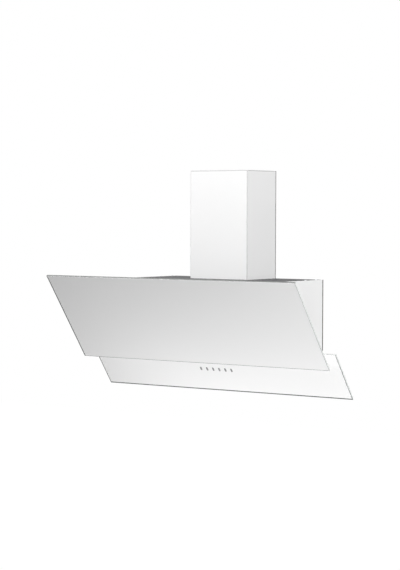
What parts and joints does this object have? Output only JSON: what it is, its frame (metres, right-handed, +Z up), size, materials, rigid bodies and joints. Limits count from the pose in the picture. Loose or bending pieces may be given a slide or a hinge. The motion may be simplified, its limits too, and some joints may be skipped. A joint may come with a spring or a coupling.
{
  "type": "range hood",
  "caption": "Wall-mounted inclined range hood with a large swinging glass pane over a smaller fixed one, push keys, a box body and a telescopic chimney.",
  "frame": {"origin": "on the wall plane, midway between the two securing holes in the back panel", "axes": "+X to the right across the hood as a viewer in front sees it, +Y into the wall, +Z up"},
  "size_m": [0.9, 0.4346, 0.6745],
  "materials": {
    "white_glass": "gloss, back-painted white",
    "white_lacquer": "satin white powder coat",
    "dark_lacquer": "satin dark grey",
    "zinc": "galvanised",
    "steel": "bright",
    "aluminium": "satin",
    "key_plastic": "silver lacquered",
    "black_plastic": "moulded",
    "grey_plastic": "moulded",
    "white_plastic": "moulded",
    "circuit_board": "solder mask",
    "lamp_diffuser": "frosted"
  },
  "bodies": {
    "hood_body": {"back_panel": "zinc", "side_panel_left": "white_lacquer", "side_panel_right": "white_lacquer", "top_panel": "dark_lacquer", "bottom_panel": "white_lacquer", "front_frame": "white_lacquer", "lower_glass": "white_glass", "lower_glass_rails": "aluminium", "hinge_bracket_left": "zinc", "hinge_bracket_right": "zinc", "catch_magnets": "black_plastic", "filter_frame_left": "aluminium", "filter_frame_right": "aluminium", "filter_mesh_left": "aluminium", "filter_mesh_right": "aluminium", "scroll_half_left": "black_plastic", "scroll_half_right": "black_plastic", "motor": "zinc", "motor_bracket": "zinc", "capacitor": "white_plastic", "outlet_collar": "black_plastic", "flap_pin": "steel", "control_box": "zinc", "control_board": "circuit_board", "transformer": "white_plastic", "terminal_box": "black_plastic", "cable_gland": "black_plastic", "key_guide": "grey_plastic", "switch_board": "circuit_board", "lamp_bezel_left": "aluminium", "lamp_bezel_right": "aluminium", "lamp_lens_left": "lamp_diffuser", "lamp_lens_right": "lamp_diffuser", "lamp_module_left": "zinc", "lamp_module_right": "zinc", "chimney_lower": "white_lacquer", "chimney_clips": "zinc", "body_screws": "steel", "blower_screws": "steel"},
    "swing_glass": {"upper_glass": "white_glass", "glass_carrier": "white_lacquer", "hinge_arm_left": "zinc", "hinge_arm_right": "zinc", "hinge_pins": "steel", "strike_plates": "steel"},
    "upper_sleeve": {"chimney_upper": "white_lacquer", "chimney_wall_bracket": "zinc"},
    "fan_rotor": {"impeller": "white_plastic", "fan_shaft": "steel"},
    "left_flap": {"flap_left": "black_plastic"},
    "right_flap": {"flap_right": "black_plastic"},
    "left_latch": {"filter_latch_left": "grey_plastic"},
    "right_latch": {"filter_latch_right": "grey_plastic"},
    "push_key_1": {"key_1": "key_plastic"},
    "push_key_2": {"key_2": "key_plastic"},
    "push_key_3": {"key_3": "key_plastic"},
    "push_key_4": {"key_4": "key_plastic"},
    "push_key_5": {"key_5": "key_plastic"},
    "push_key_6": {"key_6": "key_plastic"}
  },
  "joints": [
    {"name": "glass_swing", "type": "hinge", "parent": "hood_body", "child": "swing_glass", "pos_m": [0, -0.35275, 0.02124], "axis": [-1, 0, 0], "range_deg": [0, 45]},
    {"name": "sleeve_slide", "type": "slide", "parent": "hood_body", "child": "upper_sleeve", "axis": [0, 0, 1], "range_m": [0, 0.257]},
    {"name": "fan_spin", "type": "hinge", "parent": "hood_body", "child": "fan_rotor", "pos_m": [0, -0.12099, -0.053], "axis": [1, 0, 0], "continuous": true},
    {"name": "left_flap_swing", "type": "hinge", "parent": "hood_body", "child": "left_flap", "pos_m": [0, -0.08, 0.06305], "axis": [0, 1, 0], "range_deg": [0, 75]},
    {"name": "right_flap_swing", "type": "hinge", "parent": "hood_body", "child": "right_flap", "pos_m": [0, -0.08, 0.06305], "axis": [0, -1, 0], "range_deg": [0, 75]},
    {"name": "left_latch_slide", "type": "slide", "parent": "hood_body", "child": "left_latch", "axis": [0, 0.5878, -0.809], "range_m": [0, 0.005], "stiffness_N_per_m": 600},
    {"name": "right_latch_slide", "type": "slide", "parent": "hood_body", "child": "right_latch", "axis": [0, 0.5878, -0.809], "range_m": [0, 0.005], "stiffness_N_per_m": 600},
    {"name": "key_1_press", "type": "slide", "parent": "hood_body", "child": "push_key_1", "axis": [0, 0.809, 0.5878], "range_m": [0, 0.0015], "stiffness_N_per_m": 1200},
    {"name": "key_2_press", "type": "slide", "parent": "hood_body", "child": "push_key_2", "axis": [0, 0.809, 0.5878], "range_m": [0, 0.0015], "stiffness_N_per_m": 1200},
    {"name": "key_3_press", "type": "slide", "parent": "hood_body", "child": "push_key_3", "axis": [0, 0.809, 0.5878], "range_m": [0, 0.0015], "stiffness_N_per_m": 1200},
    {"name": "key_4_press", "type": "slide", "parent": "hood_body", "child": "push_key_4", "axis": [0, 0.809, 0.5878], "range_m": [0, 0.0015], "stiffness_N_per_m": 1200},
    {"name": "key_5_press", "type": "slide", "parent": "hood_body", "child": "push_key_5", "axis": [0, 0.809, 0.5878], "range_m": [0, 0.0015], "stiffness_N_per_m": 1200},
    {"name": "key_6_press", "type": "slide", "parent": "hood_body", "child": "push_key_6", "axis": [0, 0.809, 0.5878], "range_m": [0, 0.0015], "stiffness_N_per_m": 1200}
  ]
}
